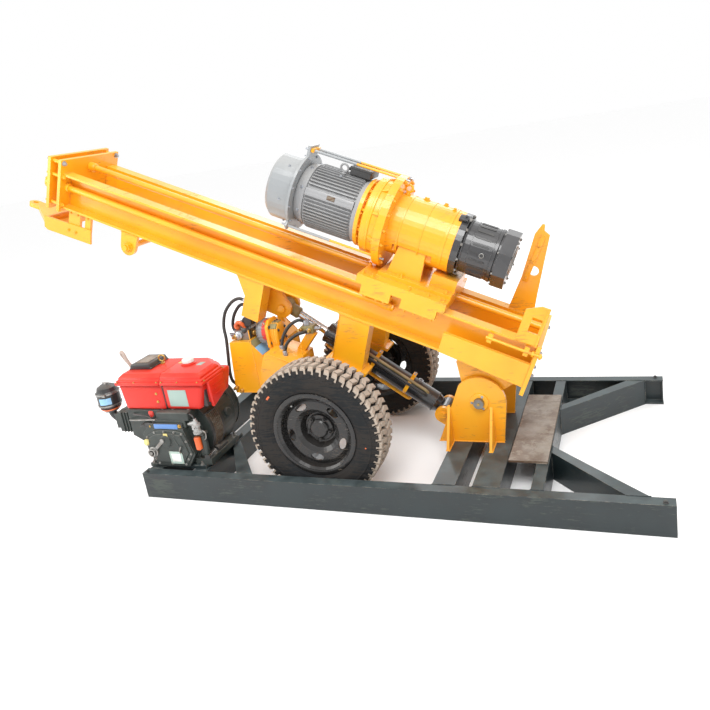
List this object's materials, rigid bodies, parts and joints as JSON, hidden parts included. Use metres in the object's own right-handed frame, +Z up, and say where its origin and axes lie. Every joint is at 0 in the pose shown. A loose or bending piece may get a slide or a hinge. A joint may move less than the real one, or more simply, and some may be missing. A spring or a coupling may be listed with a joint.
{
  "type": "trailer water well drilling rig",
  "caption": "Skid-framed drilling rig: hinged mast on two road wheels with a motor-driven power head on a sliding carriage, lift cylinder and small diesel engine.",
  "frame": {"origin": "centre of the overall box, on the ground under the skids and wheels", "axes": "+X towards the drilling end of the skid, -Y the side with the engine, +Z up"},
  "size_m": [3.6602, 1.36, 1.9158],
  "materials": {
    "yellow_paint": "gloss enamel, scuffed",
    "black_paint": "satin enamel, worn",
    "red_paint": "gloss enamel",
    "grey_paint": "satin enamel",
    "engine_iron": "painted casting, oily",
    "chrome_rod": "polished",
    "rusty_steel": "rusted flat",
    "tyre_rubber": "dusty",
    "hose_rubber": "smooth hose cover"
  },
  "bodies": {
    "chassis": {"rail_near": "black_paint", "rail_far": "black_paint", "cross_a": "black_paint", "cross_b": "black_paint", "cross_c": "black_paint", "cross_front": "black_paint", "cross_mid": "black_paint", "diagonal_near": "black_paint", "diagonal_far": "black_paint", "diagonal_engine": "black_paint", "landing_plate": "rusty_steel", "engine_bed": "black_paint", "bracket_near": "yellow_paint", "bracket_far": "yellow_paint", "hinge_pin": "engine_iron", "tail_lugs": "yellow_paint", "crankcase": "engine_iron", "engine_cover": "red_paint", "engine_lid": "engine_iron", "air_cleaner": "black_paint", "flywheel": "engine_iron"},
    "mast": {"beam_near": "yellow_paint", "beam_far": "yellow_paint", "head_plate_inner": "yellow_paint", "head_plate_outer": "yellow_paint", "foot_plate": "yellow_paint", "guide_plate": "yellow_paint", "side_tube_near": "yellow_paint", "side_tube_far": "yellow_paint", "feed_tube": "yellow_paint", "hitch": "yellow_paint", "stay_lugs": "yellow_paint", "rear_post": "yellow_paint", "strut_near": "yellow_paint", "strut_far": "yellow_paint", "axle": "black_paint", "hinge_ears": "yellow_paint", "oil_tank": "yellow_paint", "pump_box": "yellow_paint", "pump_motor": "grey_paint", "valve_block": "engine_iron", "hose_rear": "hose_rubber", "hose_valve": "hose_rubber", "hose_left": "hose_rubber", "hose_right": "hose_rubber"},
    "power_head": {"carriage": "yellow_paint", "reducer": "yellow_paint", "motor": "grey_paint", "fan_cowl": "grey_paint", "terminal_box": "engine_iron", "tie_rods": "engine_iron"},
    "spindle": {"chuck": "black_paint"},
    "wheel_near": {"tyre_near": "tyre_rubber", "rim_near": "black_paint"},
    "wheel_far": {"tyre_far": "tyre_rubber", "rim_far": "black_paint"},
    "lift_barrel": {"lift_barrel": "black_paint", "lift_pipe": "yellow_paint"},
    "lift_rod": {"lift_rod": "chrome_rod"}
  },
  "joints": [
    {"name": "mast_raise", "type": "hinge", "parent": "chassis", "child": "mast", "pos_m": [0.955, 0, 0.375], "axis": [0, 1, 0], "range_deg": [0, 66]},
    {"name": "head_feed", "type": "slide", "parent": "mast", "child": "power_head", "axis": [0.9157, 0, -0.4019], "range_m": [-1.1, 0.15]},
    {"name": "spindle_turn", "type": "hinge", "parent": "power_head", "child": "spindle", "pos_m": [1.02059, 0, 1.10889], "axis": [0.9157, 0, -0.4019], "continuous": true},
    {"name": "wheel_near_roll", "type": "hinge", "parent": "mast", "child": "wheel_near", "pos_m": [0.19, -0.49, 0.365], "axis": [0, 1, 0], "continuous": true},
    {"name": "wheel_far_roll", "type": "hinge", "parent": "mast", "child": "wheel_far", "pos_m": [0.19, 0.49, 0.365], "axis": [0, 1, 0], "continuous": true},
    {"name": "lift_tilt", "type": "hinge", "parent": "chassis", "child": "lift_barrel", "pos_m": [0.725, 0, 0.25], "axis": [0, 1, 0], "range_deg": [0, 64.35]},
    {"name": "lift_stroke", "type": "slide", "parent": "lift_barrel", "child": "lift_rod", "axis": [-0.8031, 0, 0.5959], "range_m": [0, 0.2834]}
  ],
  "couplings": [
    {"joint": "lift_tilt", "follows": "mast_raise", "ratio": 0.9743},
    {"joint": "lift_stroke", "follows": "mast_raise", "m_per_rad": 0.24558}
  ]
}
